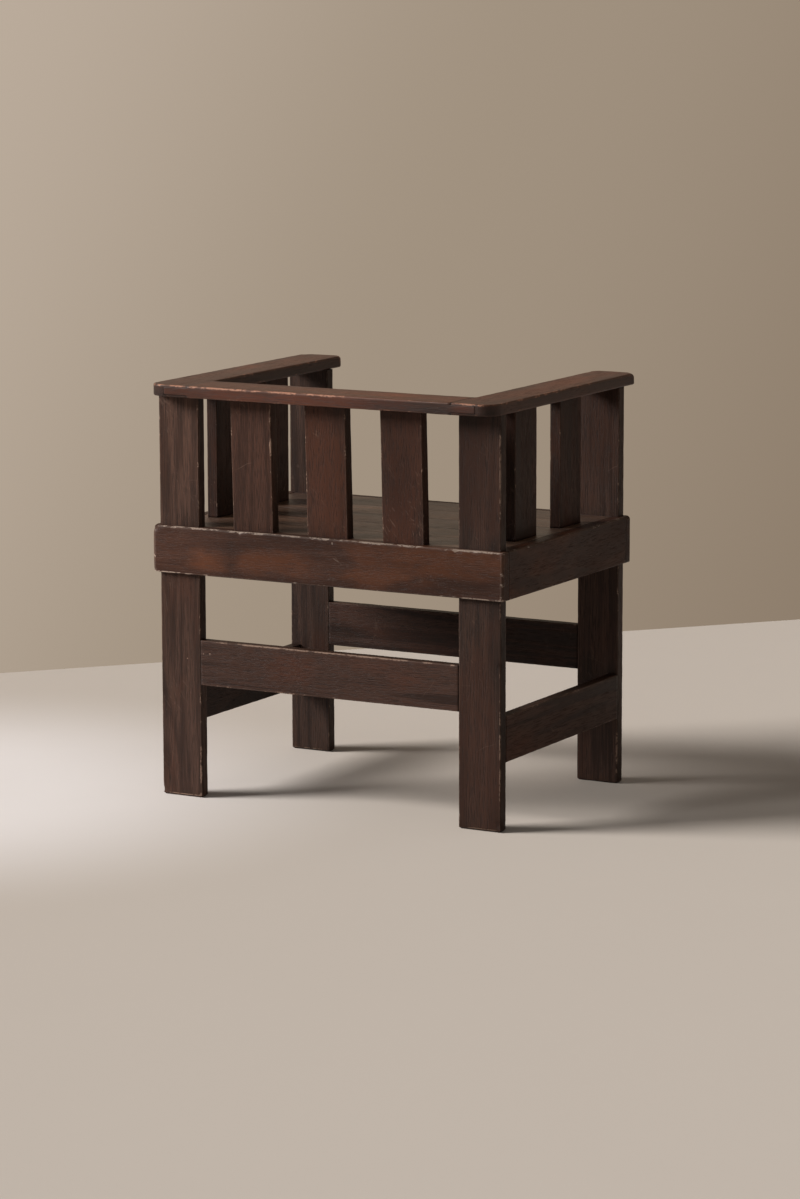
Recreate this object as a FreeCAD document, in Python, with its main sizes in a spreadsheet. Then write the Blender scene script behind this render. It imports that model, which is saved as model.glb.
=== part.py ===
import FreeCAD, Part
import Sketcher
import math
import os
import re

# Corner armchair in dark-stained oak, all from one thickness of board.
# Four flat posts run from the floor to a three-sided top rail. A frame of four boards is let over
# the posts at seat height, and stretchers tie the posts lower down. Slats fill the back and the arms.
# The chair faces -Y and stands on the XY plane, with Z up, left is +X (the sitter's left).

doc = FreeCAD.newDocument("corner_chair")

# Driving dimensions, each written once: name, value in millimetres or a count, meaning
DIMENSIONS = [
    ("frame_width", 631, "seat frame over its outer faces, left to right"),
    ("frame_depth", 448, "seat frame over its outer faces, front to back"),
    ("seat_height", 440, "floor to the top of the seat"),
    ("arm_height", 668.5, "floor to the top of the rail"),
    ("board", 19, "thickness of every board"),
    ("post_width", 73, "posts"),
    ("slat_width", 73, "slats of the back and the arms"),
    ("stretcher_width", 73, "stretchers"),
    ("frame_board", 76, "height of the seat frame's boards"),
    ("arm_width", 73, "arm boards"),
    ("rail_depth", 81, "back rail, front to back"),
    ("proud", 9, "how far the seat frame stands out beyond the posts"),
    ("arm_proud", 2.5, "how far the arms stand out beyond the posts' sides"),
    ("rear_reach", 21.5, "rail beyond the back of the seat frame"),
    ("front_reach", 31, "arms beyond the front of the seat frame"),
    ("low_stretcher", 108, "floor to the underside of the side stretchers"),
    ("high_stretcher", 184.5, "floor to the underside of the back and front stretchers"),
    ("slat_inset", 12, "back slats' rear faces at the seat, from the back of the frame"),
    ("slat_lean", 8, "how far the back slats lean back from seat to rail"),
    ("tenon_length", 12, "stub tenons"),
    ("tenon_thick", 8, "stub tenons"),
    ("tenon_shoulder", 6, "shoulder beside each tenon, across the width"),
    ("tongue_thick", 12, "tongues of the back rail in the arms"),
    ("tongue_land", 3, "flat left between a tongue's end and the rounded corner"),
    ("rail_corner", 28, "rounding of the rail's rear corners, in plan"),
    ("arm_corner", 12, "rounding of the arms' front corners, in plan"),
    ("frame_corner", 5, "rounding of the frame's end corners, in plan"),
    ("seat_nose", 6, "rounding along the top of the seat frame's front board"),
    ("arm_nose", 7, "rounding over the top of the arms' front ends"),
    ("rail_arris", 2.5, "rounding of the rail's and the arms' top edges"),
    ("frame_arris", 2.5, "rounding of the seat frame's outer top edges"),
    ("arris", 1.5, "softened edges elsewhere"),
    ("foot_chamfer", 3.5, "chamfer round each foot"),
    ("seat_boards", 5, "count of boards in the seat"),
    ("board_gap", 0.6, "gap between seat boards"),
    ("end_gap", 0.8, "gap at the ends of the seat boards"),
    ("cleat_height", 22, "cleats and bearer, height"),
    ("cleat_width", 20, "cleats and bearer, width"),
    ("fit", 0.15, "clearance on each side of a tenon, tongue or housing"),
]

sheet = doc.addObject("Spreadsheet::Sheet", "Dims")
for row, (alias, value, meaning) in enumerate(DIMENSIONS, start=1):
    sheet.set("A%d" % row, meaning)
    sheet.set("B%d" % row, str(value))
    sheet.setAlias("B%d" % row, alias)
doc.recompute()

DIM = {alias: value for alias, value, meaning in DIMENSIONS}

# Places worked out from the driving dimensions, as formulas of the sheet's names.
# "{name}" stands for another formula below or a cell of the sheet.
FORMULAS = {
    "frame_mid": "(front_reach - rear_reach) / 2",
    "frame_low": "(seat_height - frame_board)",
    "frame_half_w": "frame_width / 2",
    "frame_half_d": "frame_depth / 2",
    "rail_low": "(arm_height - board)",
    "post_x": "(frame_width / 2 - proud - post_width / 2)",
    "post_y": "(frame_depth / 2 - proud - board / 2)",
    "tenon_post": "(post_width - 2 * tenon_shoulder)",
    "tenon_slat": "(slat_width - 2 * tenon_shoulder)",
    "tenon_stretcher": "(stretcher_width - 2 * tenon_shoulder)",
    "side_stretcher_x": "(frame_width / 2 - proud - board / 2)",
    "long_span": "(frame_width - 2 * proud - 2 * post_width)",
    "short_span": "(frame_depth - 2 * proud - 2 * board)",
    "arm_x": "(frame_width / 2 - proud + arm_proud - arm_width / 2)",
    "arm_inner": "(frame_width / 2 - proud + arm_proud - arm_width)",
    "rail_rear": "(front_reach - rear_reach) / 2 + frame_depth / 2 + rear_reach",
    "arm_length": "(frame_depth + rear_reach + front_reach)",
    "rail_y": "((front_reach - rear_reach) / 2 + frame_depth / 2 + rear_reach - rail_depth / 2)",
    "tongue_length": "(arm_width - rail_corner - tongue_land)",
    "slat_pitch": "((frame_width - 2 * proud - post_width) / 4)",
    "arm_slat_gap": "((frame_depth - 2 * proud - 2 * board - 2 * slat_width) / 3)",
    "inside_w": "(frame_width - 2 * board)",
    "inside_d": "(frame_depth - 2 * board)",
    "seat_board": "((frame_depth - 2 * board - (seat_boards - 1) * board_gap) / seat_boards)",
    "cleat_low": "(seat_height - board - cleat_height)",
}
WORDS = re.compile(r"[a-z_]+")


def formula(text):
    """Turn a formula in plain names into an expression that reads the sheet."""
    def swap(found):
        word = found.group(0)
        if word in FORMULAS:
            return "(" + formula(FORMULAS[word]) + ")"
        if word in DIM:
            return "Dims." + word
        raise ValueError("no size is called " + word)
    return WORDS.sub(swap, str(text))


ORIGIN_POINT = (-1, 1)


class Board:
    """One board of the chair, a body whose features are given in the chair's own coordinates."""

    def __init__(self, name, centre, size):
        self.centre = centre
        self.body = doc.addObject("PartDesign::Body", name)
        self.body.Label = name
        for axis, text in zip("xyz", centre):
            self.body.setExpression("Placement.Base." + axis, formula(text))
        if size:
            self.block("blank", centre, size)

    def sketch(self, name, role, offset):
        """Start a sketch on one of the body's own planes, moved by an offset in that plane's axes."""
        sketch = self.body.newObject("Sketcher::SketchObject", name)
        planes = self.body.Origin.OriginFeatures
        sketch.AttachmentSupport = [(next(p for p in planes if p.Role == role), "")]
        sketch.MapMode = "FlatFace"
        for axis, text in zip("xyz", offset):
            sketch.setExpression("AttachmentOffset.Base." + axis, formula(text))
        return sketch

    def outline(self, sketch, points, names):
        """Close straight lines through the points and tie the named corners to the sheet."""
        places = [FreeCAD.Vector(x, y, 0) for x, y in points]
        count = len(places)
        for number in range(count):
            line = Part.LineSegment(places[number], places[(number + 1) % count])
            sketch.addGeometry(line, False)
        for number in range(count):
            after = (number + 1) % count
            sketch.addConstraint(Sketcher.Constraint("Coincident", number, 2, after, 1))
        for kind, number, text in names:
            self.tie(sketch, kind, number, text)
        return sketch

    def tie(self, sketch, kind, number, text):
        """Hold one corner of an outline at a distance from the sketch's origin."""
        value = 10.0
        rule = Sketcher.Constraint(kind, *ORIGIN_POINT, number, 1, value)
        index = sketch.addConstraint(rule)
        sketch.renameConstraint(index, "%s_%d" % (kind, number))
        sketch.setExpression("Constraints.%s_%d" % (kind, number), formula(text))

    def rectangle(self, name, low, width, depth):
        """A rectangle in a level plane, from its low corner."""
        sketch = self.sketch(name, "XY_Plane", low)
        corners = [(0, 0), (10, 0), (10, 10), (0, 10)]
        self.outline(sketch, corners, [])
        sketch.addConstraint(Sketcher.Constraint("Coincident", 0, 1, *ORIGIN_POINT))
        for number, kind in ((0, "Horizontal"), (1, "Vertical"), (2, "Horizontal"), (3, "Vertical")):
            sketch.addConstraint(Sketcher.Constraint(kind, number))
        for kind, line, text in (("DistanceX", 0, width), ("DistanceY", 1, depth)):
            index = sketch.addConstraint(Sketcher.Constraint(kind, line, 1, line, 2, 10.0))
            sketch.renameConstraint(index, kind)
            sketch.setExpression("Constraints." + kind, formula(text))
        return sketch

    def low_corner(self, centre, size, height_sign):
        """Corner of a box in the body's own coordinates, at its bottom (-1) or top (+1)."""
        signs = (-1, -1, height_sign)
        rows = zip(centre, self.centre, size, signs)
        return ["(%s) - (%s) + %d * (%s) / 2" % (c, own, sign, s) for c, own, s, sign in rows]

    def block(self, name, centre, size):
        """Add a rectangular block."""
        label = "%s_%s" % (self.body.Label, name)
        low = self.low_corner(centre, size, -1)
        sketch = self.rectangle(label + "_outline", low, size[0], size[1])
        pad = self.body.newObject("PartDesign::Pad", label)
        pad.Profile = sketch
        pad.setExpression("Length", formula(size[2]))

    def recess(self, name, centre, size):
        """Cut a rectangular recess."""
        label = "%s_%s" % (self.body.Label, name)
        low = self.low_corner(centre, size, 1)
        sketch = self.rectangle(label + "_outline", low, size[0], size[1])
        pocket = self.body.newObject("PartDesign::Pocket", label)
        pocket.Profile = sketch
        pocket.setExpression("Length", formula(size[2]))

    def nose(self, number, corner_x, turn):
        """Round over the top of an arm's front end, square to a direction turned (in degrees) from the front.

        The cut runs straight past the rounded corner whose centre is at corner_x, and touches it where
        it faces that way, so several turns together follow the corner and fade out along the side.
        """
        label = "%s_nose_%d" % (self.body.Label, number)
        aside = math.sin(math.radians(turn))
        along = math.cos(math.radians(turn))
        sketch = self.sketch(label + "_outline", "YZ_Plane", (
            "arm_corner - arm_length / 2 + %.6f * arm_width / 2" % aside, "0",
            "%s + %.6f * arm_width / 2" % (corner_x, along)))
        spin = FreeCAD.Rotation(FreeCAD.Vector(0, 1, 0), turn)
        sketch.AttachmentOffset = FreeCAD.Placement(FreeCAD.Vector(), spin)
        front = -DIM["arm_corner"]
        top = DIM["board"] / 2
        drawn = DIM["arm_nose"]
        start = FreeCAD.Vector(front, top - drawn, 0)
        corner = FreeCAD.Vector(front, top, 0)
        end = FreeCAD.Vector(front + drawn, top, 0)
        middle = FreeCAD.Vector(front + drawn, top - drawn, 0)
        sketch.addGeometry(Part.LineSegment(start, corner), False)
        sketch.addGeometry(Part.LineSegment(corner, end), False)
        circle = Part.Circle(middle, FreeCAD.Vector(0, 0, 1), drawn)
        sketch.addGeometry(Part.ArcOfCircle(circle, math.pi / 2, math.pi), False)
        sketch.addConstraint(Sketcher.Constraint("Coincident", 0, 2, 1, 1))
        sketch.addConstraint(Sketcher.Constraint("Tangent", 1, 2, 2, 1))
        sketch.addConstraint(Sketcher.Constraint("Tangent", 2, 2, 0, 1))
        sketch.addConstraint(Sketcher.Constraint("Vertical", 0))
        sketch.addConstraint(Sketcher.Constraint("Horizontal", 1))
        self.tie(sketch, "DistanceX", 1, "-arm_corner")
        self.tie(sketch, "DistanceY", 1, "board / 2")
        index = sketch.addConstraint(Sketcher.Constraint("Radius", 2, drawn))
        sketch.renameConstraint(index, "Radius")
        sketch.setExpression("Constraints.Radius", formula("arm_nose"))
        pocket = self.body.newObject("PartDesign::Pocket", label)
        pocket.Profile = sketch
        pocket.setExpression("Length", formula("arm_width"))

    def dress(self, kind, name, radius, pick):
        """Round (Fillet) or chamfer (Chamfer) the edges that pick() chooses, in local coordinates."""
        doc.recompute()
        base = self.body.Tip
        chosen = ["Edge%d" % (number + 1) for number, edge in enumerate(base.Shape.Edges) if pick(edge)]
        dressing = self.body.newObject("PartDesign::" + kind, "%s_%s" % (self.body.Label, name))
        dressing.Base = (base, chosen)
        dressing.setExpression("Radius" if kind == "Fillet" else "Size", formula(radius))


def runs_along(axis):
    """Choose the straight edges that run along one axis."""
    def pick(edge):
        spans = [edge.BoundBox.XLength, edge.BoundBox.YLength, edge.BoundBox.ZLength]
        length = spans.pop(axis)
        return length > 1 and max(spans) < 0.01
    return pick


def both(*picks):
    """Choose the edges that every one of the picks chooses."""
    return lambda edge: all(pick(edge) for pick in picks)


def on_side(axis, sign):
    """Choose the edges whose middle lies on one side of the body's centre along an axis."""
    return lambda edge: sign * edge.BoundBox.Center[axis] > 1


def at_foot(edge):
    """Choose the level edges round the underside of a board that stands on its end."""
    return edge.BoundBox.ZLength < 0.01 and edge.BoundBox.ZMax < 0


def leaning(edge):
    """Choose the long edges of a leaning slat."""
    return edge.Length > 100 and edge.BoundBox.XLength < 0.01


class Joint:
    """A tongue and the recess that takes it: centred on the shoulder, so half of it is inside each."""

    def __init__(self, name, centre, size):
        self.name = name
        self.centre = centre
        self.size = size

    def tenon(self, board):
        board.block(self.name, self.centre, self.size)

    def mortise(self, board):
        board.recess(self.name, self.centre, self.housing())

    def housing(self):
        return ["(%s) + 2 * fit" % size for size in self.size]


SIDES = (("left", 1), ("right", -1))
ENDS = (("back", 1), ("front", -1))
BACK_SLATS = 3
ARM_SLATS = 2
NOSE_TURNS = (30, 60)


def times(sign, text):
    """A place on the side of the chair that the sign names."""
    return "%d * (%s)" % (sign, text)


def from_mid(sign, text):
    """A place along Y, from the middle of the seat frame towards the back (+1) or the front (-1)."""
    return "frame_mid + %d * (%s)" % (sign, text)


boards = {}


def board(name, centre, size):
    boards[name] = Board(name, centre, size)
    return boards[name]


# Joints, each set once and used by both of the boards that meet there
post_places = {}
housings = {}
post_heads = {}
long_joints = {}
short_joints = {}
for side, x_sign in SIDES:
    for end, y_sign in ENDS:
        key = (side, end)
        x = times(x_sign, "post_x")
        y = from_mid(y_sign, "post_y")
        post_places[key] = (x, y)
        housings[key] = Joint(
            "housing_" + side, (x, y, "frame_low + frame_board / 2"),
            ("post_width", "board", "2 * frame_board"))
        post_heads[key] = Joint(
            end + "_head", (x, y, "rail_low"), ("tenon_post", "tenon_thick", "2 * tenon_length"))
        long_joints[key] = Joint(
            "long_" + side,
            (times(x_sign, "long_span / 2"), y, "high_stretcher + stretcher_width / 2"),
            ("2 * tenon_length", "tenon_thick", "tenon_stretcher"))
        short_joints[key] = Joint(
            "short_" + end,
            (times(x_sign, "side_stretcher_x"), from_mid(y_sign, "short_span / 2"),
             "low_stretcher + stretcher_width / 2"),
            ("tenon_thick", "2 * tenon_length", "tenon_stretcher"))

back_slat_feet = []
back_slat_heads = []
for number in range(BACK_SLATS):
    x = times(1, "%d * slat_pitch" % (number - BACK_SLATS // 2))
    foot_y = from_mid(1, "frame_half_d - slat_inset - board / 2")
    back_slat_feet.append(Joint(
        "foot_%d" % (number + 1), (x, foot_y, "seat_height"), ("slat_width", "board", "2 * board")))
    back_slat_heads.append(Joint(
        "head_%d" % (number + 1), (x, foot_y + " + slat_lean", "rail_low"),
        ("tenon_slat", "tenon_thick", "2 * tenon_length")))

arm_slat_feet = {}
arm_slat_heads = {}
for side, x_sign in SIDES:
    for number in range(ARM_SLATS):
        key = (side, number)
        x = times(x_sign, "post_x")
        y = from_mid(1, "short_span / 2 - %d * arm_slat_gap - %d * slat_width - slat_width / 2"
                     % (number + 1, number))
        size = ("tenon_thick", "tenon_slat", "2 * tenon_length")
        arm_slat_feet[key] = Joint("foot_%d" % (number + 1), (x, y, "seat_height"), size)
        arm_slat_heads[key] = Joint("head_%d" % (number + 1), (x, y, "rail_low"), size)

# The tongues of the back rail lie in slots that are open at the arms' inner edges and rear ends
tongues = {}
for side, x_sign in SIDES:
    tongues[side] = Joint(
        "tongue_" + side, (times(x_sign, "arm_inner"), "rail_y", "rail_low + board / 2"),
        ("2 * tongue_length", "rail_depth", "tongue_thick"))


def post(side, end):
    x, y = post_places[side, end]
    piece = board("%s_%s_post" % (end, side), (x, y, "rail_low / 2"), ("post_width", "board", "rail_low"))
    piece.dress("Chamfer", "foot_edge", "foot_chamfer", at_foot)
    piece.dress("Fillet", "arrises", "arris", runs_along(2))
    post_heads[side, end].tenon(piece)
    long_joints[side, end].mortise(piece)
    short_joints[side, end].mortise(piece)


def long_frame_board(end, y_sign):
    """The back or front board of the seat frame, over the full width, housed over two posts."""
    piece = board(
        end + "_apron", ("0", from_mid(y_sign, "frame_half_d - board / 2"), "frame_low + frame_board / 2"),
        ("frame_width", "board", "frame_board"))
    piece.dress("Fillet", "end_corners", "frame_corner", both(runs_along(2), on_side(1, y_sign)))
    top = "frame_arris" if end == "back" else "seat_nose"
    piece.dress("Fillet", "top_edge", top, both(runs_along(0), on_side(1, y_sign), on_side(2, 1)))
    piece.dress("Fillet", "low_edge", "arris", both(runs_along(0), on_side(1, y_sign), on_side(2, -1)))
    for side, x_sign in SIDES:
        housings[side, end].mortise(piece)
    if end == "back":
        for foot in back_slat_feet:
            foot.mortise(piece)


def side_frame_board(side, x_sign):
    """A side board of the seat frame, between the back and front boards."""
    piece = board(
        side + "_apron",
        (times(x_sign, "frame_half_w - board / 2"), "frame_mid", "frame_low + frame_board / 2"),
        ("board", "inside_d", "frame_board"))
    piece.dress("Fillet", "top_edge", "frame_arris", both(runs_along(1), on_side(0, x_sign), on_side(2, 1)))
    piece.dress("Fillet", "low_edge", "arris", both(runs_along(1), on_side(0, x_sign), on_side(2, -1)))
    for end, y_sign in ENDS:
        joint = housings[side, end]
        piece.recess("housing_" + end, joint.centre, joint.housing())


def stretchers():
    for end, y_sign in ENDS:
        piece = board(
            end + "_stretcher", ("0", from_mid(y_sign, "post_y"), "high_stretcher + stretcher_width / 2"),
            ("long_span", "board", "stretcher_width"))
        piece.dress("Fillet", "arrises", "arris", runs_along(0))
        for side, x_sign in SIDES:
            long_joints[side, end].tenon(piece)
    for side, x_sign in SIDES:
        piece = board(
            side + "_stretcher",
            (times(x_sign, "side_stretcher_x"), "frame_mid", "low_stretcher + stretcher_width / 2"),
            ("board", "short_span", "stretcher_width"))
        piece.dress("Fillet", "arrises", "arris", runs_along(1))
        for end, y_sign in ENDS:
            short_joints[side, end].tenon(piece)


def back_slat(number):
    """A slat that leans back from an upright heel, which stands on the cleat under the seat."""
    piece = board("back_slat_%d" % (number + 1), back_slat_feet[number].centre, None)
    sketch = piece.sketch(piece.body.Label + "_side", "YZ_Plane", ("0", "0", "-slat_width / 2"))
    corners = [(-9, -19), (9, -19), (9, 1), (17, 209), (-2, 209), (-9, 1)]
    rise = "(rail_low - seat_height)"
    ties = [
        ("DistanceX", 0, "-board / 2"), ("DistanceY", 0, "-board"),
        ("DistanceX", 1, "board / 2"), ("DistanceY", 1, "-board"),
        ("DistanceX", 2, "board / 2"), ("DistanceY", 2, "0"),
        ("DistanceX", 3, "board / 2 + slat_lean"), ("DistanceY", 3, rise),
        ("DistanceX", 4, "slat_lean - board / 2"), ("DistanceY", 4, rise),
        ("DistanceX", 5, "-board / 2"), ("DistanceY", 5, "0"),
    ]
    piece.outline(sketch, corners, ties)
    pad = piece.body.newObject("PartDesign::Pad", piece.body.Label + "_length")
    pad.Profile = sketch
    pad.setExpression("Length", formula("slat_width"))
    piece.dress("Fillet", "arrises", "arris", leaning)
    back_slat_heads[number].tenon(piece)


def arm_slat(side, number):
    x, y = arm_slat_feet[side, number].centre[:2]
    piece = board(
        "%s_slat_%d" % (side, number + 1), (x, y, "(seat_height + rail_low) / 2"),
        ("board", "slat_width", "rail_low - seat_height"))
    piece.dress("Fillet", "arrises", "arris", runs_along(2))
    arm_slat_feet[side, number].tenon(piece)
    arm_slat_heads[side, number].tenon(piece)


def arm(side, x_sign):
    """An arm board: rounded at its rear outer corner and at its front, forked for the rail's tongue."""
    piece = board(
        side + "_arm", (times(x_sign, "arm_x"), "rail_rear - arm_length / 2", "rail_low + board / 2"),
        ("arm_width", "arm_length", "board"))
    rear = both(runs_along(2), on_side(0, x_sign), on_side(1, 1))
    piece.dress("Fillet", "rear_corner", "rail_corner", rear)
    piece.dress("Fillet", "front_corners", "arm_corner", both(runs_along(2), on_side(1, -1)))
    piece.dress("Fillet", "top_arris", "rail_arris", both(runs_along(1), on_side(0, x_sign), on_side(2, 1)))
    piece.dress("Fillet", "low_arris", "rail_arris", both(runs_along(1), on_side(0, x_sign), on_side(2, -1)))
    corner_x = "(arm_width / 2 - arm_corner)"
    noses = [("0", 0)]
    for turn in NOSE_TURNS:
        noses.append((times(1, corner_x), turn))
        noses.append((times(-1, corner_x), -turn))
    for number, (centre_x, turn) in enumerate(noses, start=1):
        piece.nose(number, centre_x, turn)
    land_x = times(x_sign, "arm_inner + rail_arris / 2")
    piece.block("land", (land_x, "rail_y - rail_arris / 2", "rail_low + board / 2"),
                ("rail_arris", "rail_depth - rail_arris", "board"))
    tongues[side].mortise(piece)
    for end, y_sign in ENDS:
        post_heads[side, end].mortise(piece)
    for number in range(ARM_SLATS):
        arm_slat_heads[side, number].mortise(piece)


def back_rail():
    piece = board(
        "back_rail", ("0", "rail_y", "rail_low + board / 2"), ("2 * arm_inner", "rail_depth", "board"))
    piece.dress("Fillet", "top_edges", "rail_arris", both(runs_along(0), on_side(2, 1)))
    piece.dress("Fillet", "low_edges", "arris", both(runs_along(0), on_side(2, -1)))
    for side, x_sign in SIDES:
        tongues[side].tenon(piece)
    for side, x_sign in SIDES:
        joint = post_heads[side, "back"]
        piece.recess("lock_" + side, joint.centre, joint.housing())
    for head in back_slat_heads:
        head.mortise(piece)


def cleats():
    """The battens inside the frame that the seat boards and the back slats' heels stand on."""
    height = "cleat_low + cleat_height / 2"
    for end, y_sign in ENDS:
        piece = board(
            end + "_cleat", ("0", from_mid(y_sign, "frame_half_d - board - cleat_width / 2"), height),
            ("long_span - 2 * fit", "cleat_width", "cleat_height"))
        piece.dress("Chamfer", "low_edges", "arris", both(runs_along(0), on_side(2, -1)))
    for side, x_sign in SIDES:
        piece = board(
            side + "_cleat", (times(x_sign, "frame_half_w - board - cleat_width / 2"), "frame_mid", height),
            ("cleat_width", "short_span - 2 * fit", "cleat_height"))
        piece.dress("Chamfer", "low_edges", "arris", both(runs_along(1), on_side(2, -1)))
    piece = board(
        "seat_bearer", ("0", "frame_mid", height),
        ("cleat_width", "inside_d - 2 * cleat_width", "cleat_height"))
    piece.dress("Chamfer", "low_edges", "arris", both(runs_along(1), on_side(2, -1)))


def box(name, centre, size):
    """A plain box with all its sizes tied to the sheet, for the seat's boards."""
    solid = doc.addObject("Part::Box", name)
    for field, text in zip(("Length", "Width", "Height"), size):
        solid.setExpression(field, formula(text))
    for axis, place, text in zip("xyz", centre, size):
        solid.setExpression("Placement.Base." + axis, formula("(%s) - (%s) / 2" % (place, text)))
    return solid


def seat():
    """Boards across the chair, cut as one panel round the posts and the slats' feet, then divided."""
    panel = box("seat_panel", ("0", "frame_mid", "seat_height - board / 2"),
                ("inside_w - 2 * end_gap", "inside_d", "board"))
    cutters = []
    joints = list(housings.values()) + back_slat_feet + list(arm_slat_feet.values())
    for number, joint in enumerate(joints):
        cutters.append(box("seat_cutter_%d" % number, joint.centre, joint.housing()))
    waste = doc.addObject("Part::MultiFuse", "seat_waste")
    waste.Shapes = cutters
    fitted = doc.addObject("Part::Cut", "seat_fitted")
    fitted.Base = panel
    fitted.Tool = waste
    pieces = []
    for number in range(DIM["seat_boards"]):
        y = "frame_mid + inside_d / 2 - seat_board / 2 - %d * (seat_board + board_gap)" % number
        slab = box("seat_slab_%d" % (number + 1), ("0", y, "seat_height - board / 2"),
                   ("inside_w", "seat_board", "2 * board"))
        piece = doc.addObject("Part::Common", "seat_board_%d" % (number + 1))
        piece.Label = piece.Name
        piece.Base = fitted
        piece.Tool = slab
        pieces.append(piece)
    return pieces


for side, x_sign in SIDES:
    for end, y_sign in ENDS:
        post(side, end)
for end, y_sign in ENDS:
    long_frame_board(end, y_sign)
for side, x_sign in SIDES:
    side_frame_board(side, x_sign)
stretchers()
for number in range(BACK_SLATS):
    back_slat(number)
for side, x_sign in SIDES:
    for number in range(ARM_SLATS):
        arm_slat(side, number)
for side, x_sign in SIDES:
    arm(side, x_sign)
back_rail()
cleats()
seat_pieces = seat()
doc.recompute()

# Write each sub-part, once everything in the document is sound
sub_parts = [piece.body for piece in boards.values()] + seat_pieces
for item in doc.Objects:
    if "Invalid" in item.State or "Error" in item.State:
        raise RuntimeError("%s did not compute" % item.Label)
for item in sub_parts:
    if item.Shape.isNull() or not item.Shape.isValid():
        raise RuntimeError("%s has no valid shape" % item.Label)
    if len(item.Shape.Solids) != 1:
        raise RuntimeError("%s is not one solid" % item.Label)

os.makedirs("parts", exist_ok=True)
for item in sub_parts:
    item.Shape.exportStep("parts/%s.step" % item.Label)
print("%d sub-parts written" % len(sub_parts))
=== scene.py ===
"""A square low-backed armchair in dark stained oak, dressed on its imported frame.

Every board of the frame is copied from its solid, cut into fine strips, worn along its
arrises and given an oak finish whose grain runs along the board. Everything is in metres.
"""

from __future__ import annotations

import logging
import math
from collections.abc import Iterable, Iterator, Sequence
from dataclasses import dataclass, field
from enum import Enum

import bmesh
import bpy
from bpy.types import ID, Material, Mesh, Node, NodeSocket, NodeTree, Object
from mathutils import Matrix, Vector


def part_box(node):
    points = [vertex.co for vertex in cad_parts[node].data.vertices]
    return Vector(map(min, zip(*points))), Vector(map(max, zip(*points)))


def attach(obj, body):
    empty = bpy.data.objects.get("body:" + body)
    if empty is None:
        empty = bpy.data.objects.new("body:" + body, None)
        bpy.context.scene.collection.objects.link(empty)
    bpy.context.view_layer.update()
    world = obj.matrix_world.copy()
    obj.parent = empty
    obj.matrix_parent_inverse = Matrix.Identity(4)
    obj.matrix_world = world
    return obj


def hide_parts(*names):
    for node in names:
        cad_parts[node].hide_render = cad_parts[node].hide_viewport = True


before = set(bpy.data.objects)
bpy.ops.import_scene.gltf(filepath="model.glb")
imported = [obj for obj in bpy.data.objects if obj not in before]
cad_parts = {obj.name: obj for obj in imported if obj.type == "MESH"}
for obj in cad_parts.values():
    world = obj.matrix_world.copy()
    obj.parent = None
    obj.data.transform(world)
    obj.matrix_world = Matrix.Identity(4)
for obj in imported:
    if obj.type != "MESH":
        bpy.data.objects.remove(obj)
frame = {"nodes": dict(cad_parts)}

LOG = logging.getLogger("corner_chair")
MM = 0.001
BODY = "root"
Colour = tuple[float, float, float]
Place = tuple[float, float, float]


class Grain(Enum):
    """The way a board's grain runs."""

    X = "x"
    Y = "y"
    Z = "z"


Boards = dict[str, tuple[Grain, float]]


class Mark(Enum):
    """What time has left on a place of a board, or painted light and shade put on it."""

    WARM = "warm"
    BARE = "bare"
    # Painted shade, which turns to painted light where the amount is below 0, and some darker stain at
    # end grain.
    DARK = "dark"
    CHIP = "chip"


@dataclass(frozen=True)
class Spot:
    """One place of a board where the finish or the arris differs, or where light or shade is painted.

    Args:
        mark: what it is.
        at: its centre, in millimetres.
        reach: how far it spreads each way, in millimetres.
        amount: its strength, 1 for plain and below 0 for the opposite, or a chip's depth in millimetres.
    """

    FADE = 1.5
    EDGE = 4.0
    SMALL = 24.0
    PARTS = (-1.0, -0.5, 0.0, 0.5, 1.0)

    mark: Mark
    at: Place
    reach: Place
    amount: float

    def strength(self, point: Vector) -> float:
        """Strength of the spot at a point given in metres."""
        away = sum(((point[i] / MM - self.at[i]) / self.reach[i]) ** 2 for i in range(3))
        return self.amount * math.exp(-self.FADE * away) if away < self.EDGE else 0.0

    def cuts(self, axis: int) -> list[float]:
        """Where a board is cut finer for the spot along an axis, in metres; none for a broad spot."""
        if sum(self.reach) > self.SMALL:
            return []
        return [(self.at[axis] + self.reach[axis] * part) * MM for part in self.PARTS]


Wear = dict[str, tuple[Spot, ...]]


def marked(mark: Mark, *rows: tuple[float, ...]) -> Iterator[Spot]:
    """The spots of one kind, each from a row of its centre, its reach and its amount."""
    return (Spot(mark, row[:3], row[3:6], row[6]) for row in rows)


def put(name: str, data: ID) -> Object:
    """Makes an object of a mesh, a light or a camera, and links it to the scene."""
    made = bpy.data.objects.new(name, data)
    bpy.context.scene.collection.objects.link(made)
    return made


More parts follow.
